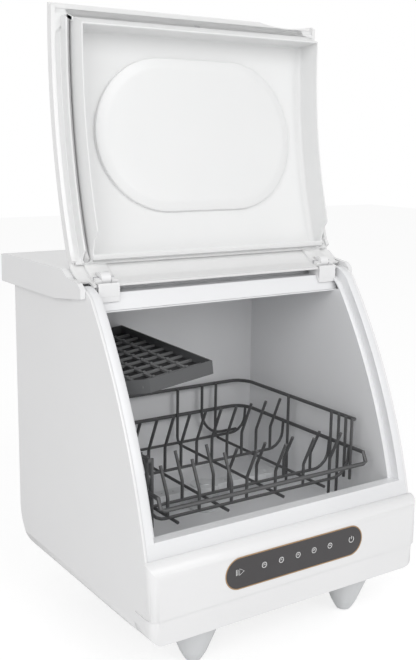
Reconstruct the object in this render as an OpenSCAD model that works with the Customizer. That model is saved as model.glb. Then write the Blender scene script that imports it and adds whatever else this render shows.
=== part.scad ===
// Countertop dishwasher with a curved flip-up lid, drawn with the lid open.
// Millimetres, +Z up, +Y to the back. The origin lies on the worktop, under the middle of the
// whole appliance.

/* [Body] */
// Width over the two side panels
body_w = 420; // [400:1:460]
// Height of the side walls at the back, where the lid hinges
rim_top = 457; // [450:1:480]
// From the rear face of the body to the origin plane
back_y = 164.5; // [160:0.5:190]
// Height of the underside of the body above the worktop
base_z = 56; // [50:1:62]
// Radius of the rounded bottom edge at the back
back_round = 60; // [40:1:70]
// Radius of the rounded bottom edges at the sides
side_round = 20; // [12:1:24]
// Wall of the outer panels
shell_t = 3.6; // [3:0.1:4.5]
// Gap between parts that are fitted together
fit = 0.3; // [0.2:0.05:0.5]

/* [Rim] */
// Radius of the long curve of the side walls, seen from the side
rim_r = 812; // [780:1:840]
// Height at which the curve starts
rim_start_z = 142.6; // [135:0.5:150]
// Where the curve starts, in front of the origin
rim_start_y = -196; // [-200:0.5:-194]
// Slope of the curve at its start
rim_start_angle = 78; // [76:0.5:80]
// Radius of the tight curve at the top of the rim
top_r = 40.992638; // [38:0.000001:44]
// How far the flange round the opening lies below the rim
flange_drop = 15; // [13:0.5:17]
// Width of the lip that the closed lid covers
lip_w = 11; // [9:0.5:12]

/* [Front] */
// How far the front panel stands in front of the origin
front_y = -209.5; // [-214:0.5:-209]
// Top edge of the sill
sill_z = 178.8; // [174:0.2:184]
// Where the shoulder of the front panel starts to round over
shoulder_z = 141.5; // [138:0.5:144]
// Height of the seam between front panel and base strip
seam_z = 91.4; // [86:0.2:96]
// How far the front panel is wider than the body, each side
front_proud = 2.5; // [1.5:0.5:4]
// Plan radius of the front corners
front_round = 12; // [8:1:13]

/* [Control strip] */
// Length of the control strip
strip_w = 219; // [190:1:240]
// Height of the control strip
strip_h = 41.6; // [36:0.2:46]
// Height of its middle above the worktop
strip_z = 123.4; // [121:0.1:124]
// Width of the copper-coloured trim
trim_w = 1.5; // [1:0.1:2]

/* [Top cover] */
// How far the top cover is wider than the body, each side
cover_over = 7; // [6:0.5:10]
// How far the cover reaches behind the body
cover_reach = 45; // [40:0.5:50]
// Top of the cover above the side walls
cover_rise = 18; // [16:0.5:22]
// How far the cover comes down over the side walls
cover_drop = 22; // [19:0.5:26]
// Plan radius of its corners
cover_round = 20; // [14:1:26]
// Wall of the cover
cover_t = 2.8; // [2.2:0.1:3.4]

/* [Tub] */
// From the outside of the body to the inside of the tub, at the sides
tub_gap = 23; // [22:0.5:25]
// From the back of the body to the inside of the tub
tub_back_gap = 17; // [15:0.5:24]
// Height of the tub floor above the underside
tub_lift = 62; // [58:1:66]
// Tub ceiling below the top of the side walls
tub_drop = 33; // [32:0.5:36]
// Wall of the tub
tub_t = 2.5; // [2:0.1:3]

/* [Lid] */
// Hinge axis behind the middle of the tight curve of the rim
hinge_back = 1.816404; // [1.4:0.000001:2.2]
// Hinge axis above the side walls
hinge_rise = 7.2; // [7:0.1:7.6]
// How far the lid opens
lid_open = 163.5; // [150:0.5:164]
// Height of the lid's outer skin above the rim
lid_rise = 11; // [10:0.2:12]
// Thickness of the skin
skin_t = 3; // [2.5:0.1:3.4]
// From the outside of the body to the side of the lid
lid_in = 2.2; // [2:0.1:3]
// How far the closed lid reaches below the sill
lid_over = 8.8; // [7:0.1:10]
// Radius of the lid's bend over the hinge
lid_bend = 57.9; // [56:0.1:60]
// Depth of the liner's inner wall below the rim
liner_depth = 35; // [31:0.5:36]
// Gap between those walls and the tub
liner_gap = 5; // [4:0.5:7]
// Wall of the liner
liner_t = 2.4; // [2:0.1:2.8]
// Length of the raised oval on the inside of the lid
oval_w = 254; // [230:1:264]
// Height of the raised oval
oval_h = 172; // [150:1:180]
// How far the oval stands up
oval_rise = 11; // [9:0.5:13]

/* [Hinges] */
// Width of each hinge block
block_w = 29.5; // [28:0.5:32]
// Diameter of the hinge pins
pin_d = 5; // [4:0.2:5.4]
// Radius of the lid's hinge ears
ear_r = 9.6; // [8.5:0.1:10]
// Radius of the knuckle on each block
knuckle_r = 5.5; // [5:0.1:6]

/* [Feet] */
// From the side of the body to the middle of a foot
foot_in = 85.8; // [70:0.2:100]
// Front feet
foot_front = -164; // [-166:1:-150]
// Rear feet
foot_rear = 66; // [50:0.5:68]
// Radius of a foot where it meets the body
foot_top_r = 35; // [30:1:37]
// Radius of the tip of a foot
foot_tip_r = 9; // [7:0.5:12]

/* [Dish rack] */
// Gap between the rack and the tub at each side
rack_gap = 22; // [19:1:32]
// Gap between the rack and the tub at the back
rack_rear_gap = 9.5; // [7:0.5:20]
// Front ends of the rack's top rail
rack_front = -127; // [-130:1:-115]
// Front of the rack's middle rail
rack_loop = -153; // [-156:1:-145]
// Height of the top rail
rack_top = 255; // [245:1:265]
// Height of the middle rail
rack_mid = 213; // [208:1:220]
// Height of the rack's floor
rack_floor = 172; // [166:1:178]
// Thickness of the rails
rail_d = 5; // [4:0.2:5.6]
// Thickness of the tines
tine_d = 4; // [3:0.2:4.4]
// Distance between tines
tine_gap = 36; // [30:1:45]

/* [Cup tray] */
// Width of the tray
tray_w = 116; // [100:1:122]
// Length of the tray
tray_l = 232; // [200:1:236]
// Height of the tray's edge
tray_h = 18; // [14:0.5:20]
// Tilt of the tray, its inner side higher
tray_tilt = 7.9; // [4:0.1:10]
// Height of its lower outer edge
tray_z = 324; // [318:1:332]
// Front edge of the tray
tray_front = -92.5; // [-94:0.5:-80]
// Wall of the tray
tray_t = 2.2; // [1.8:0.1:2.6]

/* [Spray and filter] */
// Length of the spray arm
arm_l = 244; // [200:2:250]
// Width of the spray arm at its tips
arm_w = 24; // [20:1:28]
// Height of the middle of the spray arm
arm_z = 148; // [146:0.5:149]
// Radius of the filter cup
filter_r = 27; // [24:0.5:29]
// From the side wall of the tub to the middle of the filter
filter_in = 55; // [52:1:70]
// Middle of the filter in front of the origin
filter_y = -118; // [-122:1:-112]

/* [Hidden] */
half_w = body_w / 2;
front_half = half_w + front_proud;
tub_half = half_w - tub_gap;
tub_back = back_y - tub_back_gap;
tub_floor = base_z + tub_lift;
tub_top = rim_top - tub_drop;
cover_w = body_w + 2 * cover_over;
cover_back = back_y + cover_reach;
cover_top = rim_top + cover_rise;
cover_low = rim_top - cover_drop;
lid_low = sill_z - lid_over;
foot_x = half_w - foot_in;
rack_x = tub_half - rack_gap;
rack_back = tub_back - rack_rear_gap;
filter_x = tub_half - filter_in;
far = 900;
// Middle of the long curve, and of the tight curve that ends it
rim_c = [rim_start_y + rim_r * sin(rim_start_angle), rim_start_z - rim_r * cos(rim_start_angle)];
rim_end_angle = acos((rim_top - top_r - rim_c.y) / (rim_r - top_r));
rim_n = [-sin(rim_end_angle), cos(rim_end_angle)];
rim_t = [cos(rim_end_angle), sin(rim_end_angle)];
top_c = rim_c + (rim_r - top_r) * rim_n;
bend_c = rim_c + (rim_r + lid_rise - lid_bend) * rim_n;
hinge_y = top_c.x + hinge_back;
hinge_z = rim_top + hinge_rise;
// Bands across the width, outwards from the tub: flange, step, lip, outer panel
step_x = tub_half + 8.2;
lip_x = step_x + lip_w;
panel_x = half_w - shell_t;
seat_x = step_x - 1.2;
deck_z = rim_top - 10.5;
header_y = hinge_y - 16.5;
cover_nose = hinge_y + 16.4;
liner_half = tub_half - liner_gap;
lid_half = half_w - lid_in;
block_out = step_x - 5.2;
block_in = block_out - block_w;
inner_x = half_w - side_round - fit;
strip_back = rim_start_y + 25;
port_x = inner_x - 69.7;

// ---- Drawing aids: side outlines are drawn in Y and Z and drawn out along X ----
module along_x(from, to) {
    translate([from, 0, 0]) rotate([90, 0, 90]) linear_extrude(to - from) children();
}

module both_sides() {
    children();
    mirror([1, 0, 0]) children();
}

module disc(centre, r) {
    translate(centre) circle(r, $fn = 360);
}

// Half plane below the line square to the rim where the tight curve starts
module below_bend(centre) {
    polygon([centre + far * rim_n, centre + far * rim_n - far * rim_t,
        centre - far * rim_n - far * rim_t, centre - far * rim_n]);
}

// Everything inside the rim line moved outwards by e
module rim_region(e = 0) {
    intersection() {
        disc(rim_c, rim_r + e);
        below_bend(top_c);
    }
    disc(top_c, top_r + e);
    translate([top_c.x, 0]) square([far, top_c.y + top_r + e]);
}

// Outline of the lid's skin moved inwards by i
module skin_region(i = 0) {
    intersection() {
        disc(rim_c, rim_r + lid_rise - i);
        below_bend(bend_c);
    }
    disc(bend_c, lid_bend - i);
    translate([bend_c.x, 0]) square([far, bend_c.y + lid_bend - i - 0.8]);
}

// Back and underside of the body, moved inwards by i
module base_region(i = 0) {
    intersection() {
        disc([back_y - back_round, base_z + back_round], back_round - i);
        translate([-far, 0]) square([2 * far, 2 * far]);
    }
    translate([-far, base_z + back_round]) square([far + back_y - i, far]);
    polygon([[back_y - back_round, base_z + i], [back_y - back_round, base_z + back_round],
        [-far, base_z + back_round], [-far, base_z + 10 + i], [-166, base_z + 9.6 + i],
        [-132, base_z + 5.6 + i], [-67, base_z + i]]);
}

// Front view outline with rounded lower corners, moved inwards by i
module front_section(w, low, high, r, i = 0) {
    translate([0, i]) {
        translate([-w + i, low + r - i]) square([2 * (w - i), high - low]);
        translate([-w + r, low]) square([2 * (w - r), high - low]);
    }
    for (s = [-1, 1]) translate([s * (w - r), low + r]) circle(r - i, $fn = 96);
}

module along_y(from, to) {
    translate([0, to, 0]) rotate([90, 0, 0]) linear_extrude(to - from) children();
}

// Plan outline with rounded corners at the front or back
module plan(w, from, to, r) {
    translate([-w, from]) square([2 * w, to - from - r]);
    translate([-w + r, from]) square([2 * (w - r), to - from]);
    for (s = [-1, 1]) translate([s * (w - r), to - r]) circle(r, $fn = 96);
}

module pill(w, h) {
    square([w - h, h], center = true);
    for (s = [-1, 1]) translate([s * (w - h) / 2, 0]) circle(h / 2, $fn = 96);
}

// ---- Outer body ----
// Side panel: a shell whose lower, rear and side walls run into each other
module side_panel() {
    intersection() {
        difference() {
            intersection() {
                along_x(0, half_w) intersection() {
                    rim_region();
                    base_region();
                    translate([rim_start_y, 0]) square([far, far]);
                }
                along_y(-far, far) front_section(half_w, base_z, far, side_round);
            }
            intersection() {
                along_x(-1, panel_x) union() {
                    base_region(shell_t);
                }
                along_y(-far, far) front_section(half_w, base_z, far, side_round, shell_t);
            }
        }
        translate([half_w - side_round, -far, 0]) cube([far, 2 * far, far]);
        union() {
            translate([0, strip_back + 0.5, 0]) cube([far, far, far]);
            translate([0, -far, seam_z]) cube([far, far, far]);
        }
    }
}

module right_side_panel() {
    color("white") side_panel();
}

module left_side_panel() {
    color("white") mirror([1, 0, 0]) side_panel();
}

front_foot_z = base_z + 3;

module base_pan() {
    color("gainsboro") difference() {
        union() {
            along_x(-inner_x, inner_x) intersection() {
                difference() {
                    base_region();
                    base_region(shell_t);
                }
                translate([strip_back + 5, 0])
                    square([back_y - back_round - strip_back - 5, base_z + 20]);
            }
            for (s = [-1, 1], y = [foot_front, foot_rear])
                translate([s * foot_x, y, y < 0 ? front_foot_z : base_z])
                    cylinder(14, r = 6.5, $fn = 48);
        }
        for (s = [-1, 1], y = [foot_front, foot_rear])
            translate([s * foot_x, y, 0]) cylinder(far, r = 2.2, $fn = 32);
        for (x = [-60:15:60]) translate([x, 30, 0]) cube([5, 50, far]);
        for (x = [39.7 - inner_x, inner_x - 39.7], y = [-60, 20])
            translate([x, y, 0]) cylinder(far, r = 2.3, $fn = 32);
    }
}

module back_panel() {
    color("white") difference() {
        along_x(-inner_x, inner_x) intersection() {
            difference() {
                base_region();
                base_region(shell_t);
            }
            translate([back_y - back_round + fit, 0]) square([far, cover_low + 12]);
        }
        for (z = [rim_top - 127:12:rim_top - 55]) translate([-130, 0, z]) cube([90, far, 5]);
        for (x = [19.7 - inner_x, inner_x - 19.7], z = [170, 300, rim_top - 42])
            translate([x, 0, z]) rotate([-90, 0, 0]) cylinder(far, r = 2.3, $fn = 32);
        for (p = [[port_x, base_z + 94], [port_x - 50, base_z + 94], [-port_x, base_z + 84]])
            translate([p.x, 0, p.y]) rotate([-90, 0, 0]) cylinder(far, r = 11.3, $fn = 48);
    }
}

module front_panel() {
    r = 18;
    color("white") difference() {
        intersection() {
            along_x(-front_half, front_half) difference() {
                union() {
                    translate([front_y, seam_z + fit]) square([r, shoulder_z - seam_z]);
                    disc([front_y + r, shoulder_z], r);
                    translate([front_y + r, seam_z + fit]) square([8, shoulder_z + r - seam_z - fit]);
                }
                translate([-far, 0]) square([2 * far, seam_z + fit]);
                rim_region(fit);
            }
            mirror([0, 1, 0]) linear_extrude(far) plan(front_half, 0, -front_y, front_round);
        }
        along_x(-front_half + shell_t, front_half - shell_t) difference() {
            union() {
                translate([front_y + shell_t, 0]) square([r, shoulder_z]);
                disc([front_y + r, shoulder_z], r - shell_t);
            }
            translate([-far, 0]) square([2 * far, seam_z + shell_t]);
        }
        translate([0, front_y, strip_z]) rotate([-90, 0, 0]) translate([0, 0, -1])
            linear_extrude(2.8) pill(strip_w, strip_h);
        translate([-70, front_y - 1, strip_z - 8]) cube([140, 10, 16]);
    }
}

module base_front_strip() {
    color("white") intersection() {
        difference() {
            along_y(front_y + 2, strip_back) front_section(front_half - 1, base_z + 3, seam_z, side_round);
            along_y(front_y + 2 + shell_t, strip_back + 1)
                front_section(front_half - 1 - shell_t, base_z + 3 + shell_t, seam_z + 5,
                    side_round - shell_t);
        }
        mirror([0, 1, 0]) linear_extrude(seam_z) plan(front_half - 1, 0, -front_y - 2, front_round);
    }
}

module cover_side_outline(i) {
    polygon([[hinge_y - 20 + i, cover_low + 9 + i], [hinge_y + 13.5, cover_low + 5 + i],
        [hinge_y + 53.5, cover_low + i],
        [cover_back - i, cover_low + i], [cover_back - i, cover_top - 5 - i],
        [cover_back - 30, cover_top - i], [hinge_y + 31.5, cover_top - i],
        [hinge_y + 17.5, rim_top + 9 - i], [hinge_y - 12, rim_top + 5],
        [hinge_y - 20 + i, rim_top - 2]]);
}

module top_cover() {
    color("white") difference() {
        intersection() {
            along_x(-cover_w / 2, cover_w / 2) cover_side_outline(0);
            linear_extrude(far) plan(cover_w / 2, -far, cover_back, cover_round);
        }
        // Hollow, open below
        intersection() {
            along_x(-half_w - fit, half_w + fit)
                polygon([[-far, 0], [back_y + fit, 0], [back_y + fit, rim_top + fit],
                    [-far, rim_top + fit]]);
            linear_extrude(far) plan(half_w + fit, -far, back_y + fit, 4);
        }
        intersection() {
            along_x(-cover_w / 2 + cover_t, cover_w / 2 - cover_t)
                polygon([[cover_nose + cover_t, 0], [cover_back - cover_t, 0],
                    [cover_back - cover_t, cover_top - 5 - cover_t],
                    [cover_back - 30, cover_top - cover_t], [hinge_y + 31.5, cover_top - cover_t],
                    [cover_nose + cover_t, rim_top + 4]]);
            linear_extrude(far) plan(cover_w / 2 - cover_t, -far, cover_back - cover_t,
                cover_round - cover_t);
        }
        // The lid swings here, between the two side flanges
        along_x(-half_w - fit, half_w + fit)
            polygon([[-far, 0], [cover_nose, 0], [cover_nose, hinge_z], [cover_nose + 3, hinge_z + 4.8],
                [cover_nose + 10.6, cover_top + 1], [-far, cover_top + 1]]);
    }
}

module top_cover_base() {
    color("gainsboro") intersection() {
        translate([0, 0, cover_low + 1]) linear_extrude(cover_t)
            plan(cover_w / 2 - cover_t - fit, back_y + 2 * fit, cover_back - cover_t - fit,
                cover_round - cover_t - fit);
        cube(2 * far, center = true);
    }
}

// ---- Tub and hinge deck ----
module tub_outline(e, z_low, z_high, back) {
    intersection() {
        rim_region(e);
        translate([-far, z_low]) square([far + back, z_high - z_low]);
    }
}

module rim_band(from, to, z_low) {
    intersection() {
        difference() {
            rim_region(to);
            rim_region(from);
        }
        translate([-far, z_low]) square([far + top_c.x - 3, far]);
    }
}

module tub() {
    color("white") difference() {
        union() {
            along_x(-tub_half - tub_t, tub_half + tub_t)
                tub_outline(-flange_drop + tub_t, tub_floor - tub_t, tub_top + tub_t, tub_back + tub_t);
            both_sides() {
                along_x(tub_half, step_x + tub_t)
                    rim_band(-flange_drop, -flange_drop + tub_t, tub_floor);
                along_x(step_x, step_x + tub_t) rim_band(-flange_drop, 0, sill_z - 20);
                along_x(step_x, lip_x) rim_band(-tub_t, 0, sill_z - 20);
            }
            along_x(-step_x, step_x) intersection() {
                rim_band(-tub_t, 0, sill_z - 20);
                translate([-far, 0]) square([2 * far, sill_z]);
            }
            along_x(-step_x, step_x) intersection() {
                rim_band(-flange_drop, 0, 0);
                translate([-far, sill_z - tub_t]) square([2 * far, tub_t]);
            }
        }
        along_x(-tub_half, tub_half) tub_outline(-flange_drop, tub_floor, tub_top, tub_back);
        along_x(-tub_half, tub_half) tub_outline(far, tub_top - 1, far, header_y);
        along_x(-tub_half - 6 - fit, tub_half + 6 + fit) header_outline(fit);
        along_x(-block_out - fit, block_out + fit) block_outline(fit);
        along_x(-tub_half, tub_half) tub_outline(far, sill_z, tub_top, tub_back);
        translate([0, 0, tub_floor - 5]) cylinder(10, r = 16, $fn = 64);
        translate([filter_x, filter_y, tub_floor - 5]) cylinder(10, r = filter_r + 2, $fn = 64);
    }
}

module header_outline(g) {
    polygon([[header_y - g, rim_top - 31 - g], [cover_nose + 8 + g, rim_top - 31 - g],
        [cover_nose + 8 + g, rim_top + g], [cover_nose + 0.6 - g, rim_top + g],
        [cover_nose + 0.6 - g, deck_z + g], [header_y + 9.5 - g, deck_z + g]]);
}

module header_bar() {
    color("white") along_x(-tub_half - 6, tub_half + 6) header_outline(0);
}

module block_outline(g) {
    polygon([[header_y + 2 - g, deck_z - 10 - g], [hinge_y + 9.5, deck_z + fit / 2],
        [hinge_y + 9.5, rim_top - 5], [hinge_y - 8.5, rim_top - 0.5 + g],
        [header_y + 2 - g, rim_top - 0.5 + g]]);
}

module hinge_block() {
    difference() {
        union() {
            difference() {
                along_x(block_in, block_out) block_outline(0);
                along_x(block_in - 1, block_out + 1) disc([hinge_y, hinge_z], ear_r + 0.7);
            }
            along_x(block_in + 8, block_out - 8) {
                disc([hinge_y, hinge_z], knuckle_r);
                translate([hinge_y - knuckle_r, deck_z + fit]) square([2 * knuckle_r, hinge_z - deck_z]);
            }
        }
        along_x(0, half_w) disc([hinge_y, hinge_z], pin_d / 2);
        along_x(0, half_w) header_outline(fit / 2);
    }
}

module hinge_block_right() {
    color("white") hinge_block();
}

module hinge_block_left() {
    color("white") mirror([1, 0, 0]) hinge_block();
}

module hinge_pin() {
    translate([block_in + 1, hinge_y, hinge_z]) rotate([0, 90, 0])
        cylinder(block_out - block_in - 2, d = pin_d - 0.04, $fn = 48);
}

module hinge_pin_right() {
    color("silver") hinge_pin();
}

module hinge_pin_left() {
    color("silver") mirror([1, 0, 0]) hinge_pin();
}

// ---- Controls ----
module strip_plate(from, to, w, h) {
    translate([0, to, strip_z]) rotate([90, 0, 0]) linear_extrude(to - from) pill(w, h);
}

module control_trim() {
    color("peru") difference() {
        strip_plate(front_y - 0.4, front_y + 1.6, strip_w - 0.2, strip_h - 0.2);
        strip_plate(front_y - 1, front_y + 2, strip_w - 2 * trim_w, strip_h - 2 * trim_w);
    }
}

module control_fascia() {
    color("dimgray") strip_plate(front_y - 0.2, front_y + 1.6,
        strip_w - 2 * trim_w - 0.2, strip_h - 2 * trim_w - 0.2);
}

module touch_board() {
    color("seagreen") translate([-100, front_y + shell_t + 0.3, strip_z - 12]) cube([200, 1.6, 24]);
}

// ---- Feet ----
module foot(y, s, top) {
    color("whitesmoke") translate([s * foot_x, y, 0]) rotate_extrude($fn = 72)
        polygon([[0, 0], [0, top - fit], [foot_top_r, top - fit], [17.5, 15], [12, 5],
            [foot_tip_r + 0.5, 1.6], [foot_tip_r - 2, 0.4], [foot_tip_r - 5, 0]]);
}

module foot_front_left() {
    foot(foot_front, -1, front_foot_z);
}

module foot_front_right() {
    foot(foot_front, 1, front_foot_z);
}

module foot_rear_left() {
    foot(foot_rear, -1, base_z);
}

module foot_rear_right() {
    foot(foot_rear, 1, base_z);
}

// ---- Water parts under the tub ----
module sump() {
    color("gray") translate([filter_x, filter_y, 0]) difference() {
        union() {
            translate([0, 0, 70]) cylinder(tub_floor - tub_t - 70, r = filter_r + 5, $fn = 72);
            translate([-70, 0, 82]) rotate([0, 90, 0]) cylinder(70, r = 8, $fn = 48);
        }
        translate([0, 0, 73]) cylinder(60, r = filter_r + 2, $fn = 72);
        translate([-71, 0, 82]) rotate([0, 90, 0]) cylinder(60, r = 6, $fn = 48);
    }
}

module filter_cup() {
    color("dimgray") translate([filter_x, filter_y, 0]) {
        difference() {
            translate([0, 0, 80]) cylinder(tub_floor - 79, r = filter_r, $fn = 72);
            translate([0, 0, 83]) cylinder(tub_floor - 79, r = filter_r - 2.2, $fn = 72);
        }
        difference() {
            translate([0, 0, tub_floor + 0.3]) cylinder(2, r = filter_r + 5, $fn = 72);
            translate([0, 0, tub_floor - 1]) cylinder(6, r = filter_r - 2.2, $fn = 72);
        }
        translate([-filter_r + 1, -1.5, tub_floor - 8]) cube([2 * filter_r - 2, 3, 12]);
    }
}

module spray_hub() {
    color("gray") difference() {
        union() {
            translate([0, 0, tub_floor - 14]) cylinder(arm_z - 6 - tub_floor + 14, r = 12, $fn = 64);
            translate([0, 0, tub_floor + 0.1]) cylinder(3, r = 22, $fn = 64);
            translate([0, 0, arm_z - 7]) cylinder(14, r = 7, $fn = 64);
        }
        translate([0, 0, tub_floor - 15]) cylinder(arm_z - tub_floor, r = 4, $fn = 48);
    }
}

module spray_arm() {
    color("gray") difference() {
        union() {
            translate([0, 0, arm_z - 5.5]) cylinder(11, r = 20, $fn = 72);
            for (a = [0, 180]) rotate(a) {
                translate([0, -arm_w / 2 + 2, arm_z - 4.5]) cube([arm_l / 2 - arm_w / 2, arm_w - 4, 9]);
                translate([arm_l / 2 - arm_w / 2, 0, arm_z - 4.5]) cylinder(9, r = arm_w / 2, $fn = 64);
            }
        }
        translate([0, 0, arm_z - 6]) cylinder(14, r = 7.06, $fn = 64);
        for (a = [0, 180], x = [35:18:107]) rotate(a)
            translate([x, 0, arm_z + 2]) cylinder(5, r = 1.6, $fn = 24);
    }
}

module motor(l, r) {
    cylinder(l, r = r, $fn = 64);
    translate([0, 0, l]) cylinder(14, r = r * 0.8, $fn = 64);
    translate([0, 0, l + 14]) cylinder(12, r = 8, $fn = 48);
}

module wash_pump() {
    color("darkslategray") translate([-20, -60, base_z + shell_t + fit + 23])
        rotate([0, -90, 0]) motor(60, 23);
}

module drain_pump() {
    color("darkslategray") translate([60, 70, base_z + shell_t + fit + 17])
        rotate([0, -90, 90]) motor(30, 17);
}

module heater() {
    color("silver") translate([0, 40, tub_floor - tub_t - fit - 15]) rotate([0, -90, 0]) difference() {
        cylinder(110, r = 15, $fn = 64);
        translate([0, 0, 3]) cylinder(104, r = 12, $fn = 64);
    }
}

module inlet_valve() {
    color("white") translate([-port_x, back_y - back_round + 9.2, base_z + 18]) cube([30, 28, 28]);
}

module rear_port(x, z, r, l) {
    translate([x, back_y - 12, z]) rotate([-90, 0, 0]) difference() {
        union() {
            cylinder(12 + l, r = r, $fn = 48);
            translate([0, 0, 12.3]) cylinder(3, r = r + 4, $fn = 48);
            cylinder(5, r = r + 4, $fn = 48);
        }
        translate([0, 0, -1]) cylinder(40 + l, r = r - 2.5, $fn = 48);
    }
}

module water_inlet() {
    color("whitesmoke") rear_port(port_x, base_z + 94, 10.8, 14);
}

module drain_outlet() {
    color("gray") rear_port(port_x - 50, base_z + 94, 10.8, 18);
}

module cord_gland() {
    color("dimgray") rear_port(-port_x, base_z + 84, 10.8, 8);
}

module screw(r) {
    cylinder(10, r = r * 0.5, $fn = 32);
    translate([0, 0, 10]) cylinder(2.2, r = r, $fn = 32);
}

module back_screws() {
    color("silver") for (x = [19.7 - inner_x, inner_x - 19.7], z = [170, 300, rim_top - 42])
        translate([x, back_y - 9.9, z]) rotate([-90, 0, 0]) screw(4);
}

module base_screws() {
    color("silver") for (x = [39.7 - inner_x, inner_x - 39.7], y = [-60, 20])
        translate([x, y, base_z + 9.9]) rotate([180, 0, 0]) screw(4);
}

// ---- Lid, drawn closed and turned open about the hinge ----
module opened() {
    translate([0, hinge_y, hinge_z]) rotate([-lid_open, 0, 0]) translate([0, -hinge_y, -hinge_z])
        children();
}

module skin_band(from, to, z_low, y_end) {
    intersection() {
        difference() {
            skin_region(from);
            skin_region(to);
        }
        translate([-far, z_low]) square([far + y_end, far]);
    }
}

module ears_clear() {
    both_sides() {
        along_x(block_in - 0.8, block_out + 0.8)
            translate([hinge_y + 7, hinge_z - 20]) square([far, 60]);
        along_x(block_in + 7.4, block_out - 7.4)
            translate([hinge_y - 8, hinge_z - 20]) square([far, 60]);
        along_x(step_x - 0.4, far) translate([hinge_y, hinge_z - 20]) square([far, 60]);
    }
}

module lid_skin() {
    color("white") opened() difference() {
        union() {
            along_x(-lid_half, lid_half) skin_band(0, skin_t, lid_low, hinge_y + 13.4);
            both_sides() along_x(lid_half - 5.6, lid_half)
                intersection() {
                    difference() {
                        skin_region(skin_t - 0.5);
                        rim_region(0.8);
                    }
                    translate([-far, lid_low]) square([far + hinge_y - 22, far]);
                }
            along_x(-lid_half, lid_half) intersection() {
                difference() {
                    skin_region(0);
                    rim_region(1);
                }
                translate([-far, lid_low]) square([far, 5]);
            }
        }
        ears_clear();
        // Finger scallop in the middle of the lower edge
        translate([104, -far / 2, lid_low - 16]) rotate([-90, 0, 0]) cylinder(far, r = 22, $fn = 96);
    }
}

// Depth outline of the inner wall: runs level with the rim and rounds up to the hinge end
module liner_core(e_top, e_low) {
    intersection() {
        difference() {
            rim_region(e_top);
            rim_region(e_low);
        }
        translate([-far, lid_low + 12]) square([far - 42, 440]);
    }
}

module liner_keep(i) {
    polygon([[-far, lid_low + 12 + i], [hinge_y - 68.5, lid_low + 12 + i],
        [hinge_y + 31.5, rim_top - 77], [header_y + 0.5 - i, rim_top - 44],
        [header_y - 7 - i, rim_top - 16], [header_y - 10 - i, rim_top + 18], [-far, rim_top + 18]]);
}

module lid_liner() {
    color("white") opened() {
        difference() {
            along_x(-liner_half, liner_half) intersection() {
                difference() {
                    rim_region(5);
                    rim_region(-liner_depth);
                }
                liner_keep(0);
            }
            along_x(-liner_half + liner_t, liner_half - liner_t) intersection() {
                rim_region(5 - liner_t);
                liner_keep(liner_t);
            }
        }
        // Thin outer wall and the floor of the seal groove
        both_sides() {
            along_x(liner_half - 0.1, seat_x) intersection() {
                difference() {
                    rim_region(5);
                    rim_region(5 - liner_t);
                }
                liner_keep(0);
            }
            along_x(seat_x - liner_t, seat_x) intersection() {
                difference() {
                    rim_region(5);
                    rim_region(-flange_drop + tub_t + 1);
                }
                liner_keep(0);
            }
        }
    }
}

module lid_seal() {
    color("lightgray") opened() both_sides()
        along_x(liner_half + 0.4, seat_x - liner_t - 0.4) intersection() {
            difference() {
                rim_region(5 - liner_t - 0.3);
                rim_region(-flange_drop + tub_t + 0.4);
            }
            liner_keep(3);
        }
}

// Raised oval, lying on the liner
module lid_oval_panel() {
    oval_c = 305;
    a = 66.5;
    color("white") opened() intersection() {
        difference() {
            along_x(-far, far) intersection() {
                difference() {
                    rim_region(5 - liner_t - 0.3);
                    rim_region(5 - liner_t - oval_rise);
                }
                translate([-far, 0]) square([2 * far, 2 * far]);
            }
            cube(0.01);
        }
        translate([0, -120, oval_c]) rotate([-(90 - a), 0, 0]) rotate([90, 0, 0])
            translate([0, 0, -100]) linear_extrude(200) pill(oval_w, oval_h);
    }
}

module lid_magnet() {
    color("silver") opened() translate([0, -182, lid_low + 12.5 - 3]) cylinder(2.5, r = 4, $fn = 32);
}

module lid_hinge() {
    difference() {
        along_x(block_in - 0.4, block_out) intersection() {
            difference() {
                skin_region(skin_t);
                translate([hinge_y - 24.5, 0]) square([2 * far, hinge_z - 7.2]);
                rim_region(5 + fit);
            }
            union() {
                disc([hinge_y, hinge_z], ear_r);
                translate([hinge_y - 40.5, 0]) square([40.5, far]);
            }
        }
        along_x(block_in + 7.4, block_out - 7.4)
            translate([hinge_y - ear_r - 1.5, hinge_z - 20]) square([far, 60]);
        along_x(block_in - 2, block_out + 2) disc([hinge_y, hinge_z], pin_d / 2 + 0.03);
    }
}

module lid_hinge_right() {
    color("white") opened() lid_hinge();
}

module lid_hinge_left() {
    color("white") opened() mirror([1, 0, 0]) lid_hinge();
}

// ---- Wire rack ----
function unit(v) = v / norm(v);
function wire_dir(p, i) = i == 0 ? unit(p[1] - p[0])
    : i == len(p) - 1 ? unit(p[i] - p[i - 1])
    : unit(unit(p[i] - p[i - 1]) + unit(p[i + 1] - p[i]));
function first_side(t) = unit(cross(t, abs(t.z) < 0.9 ? [0, 0, 1] : [0, 1, 0]));
function wire_sides(p, i = 0, s = undef) = i == len(p) ? []
    : let (t = wire_dir(p, i), a = is_undef(s) ? first_side(t) : s, n = unit(a - (a * t) * t))
        concat([n], wire_sides(p, i + 1, n));
// Points round a bend between two straight runs
function bend(a, b, c, r, n = 3) = let (u = unit(a - b), v = unit(c - b), g = acos(u * v) / 2,
    d = r / tan(g), m = b + unit(u + v) * r / sin(g), p = b + u * d, q = b + v * d)
    [for (k = [0:n]) let (w = unit((p - m) * (1 - k / n) + (q - m) * k / n)) m + r * w];
function rounded(p, r) = concat([p[0]],
    [for (i = [1:len(p) - 2]) each bend(p[i - 1], p[i], p[i + 1], r)], [p[len(p) - 1]]);

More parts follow.
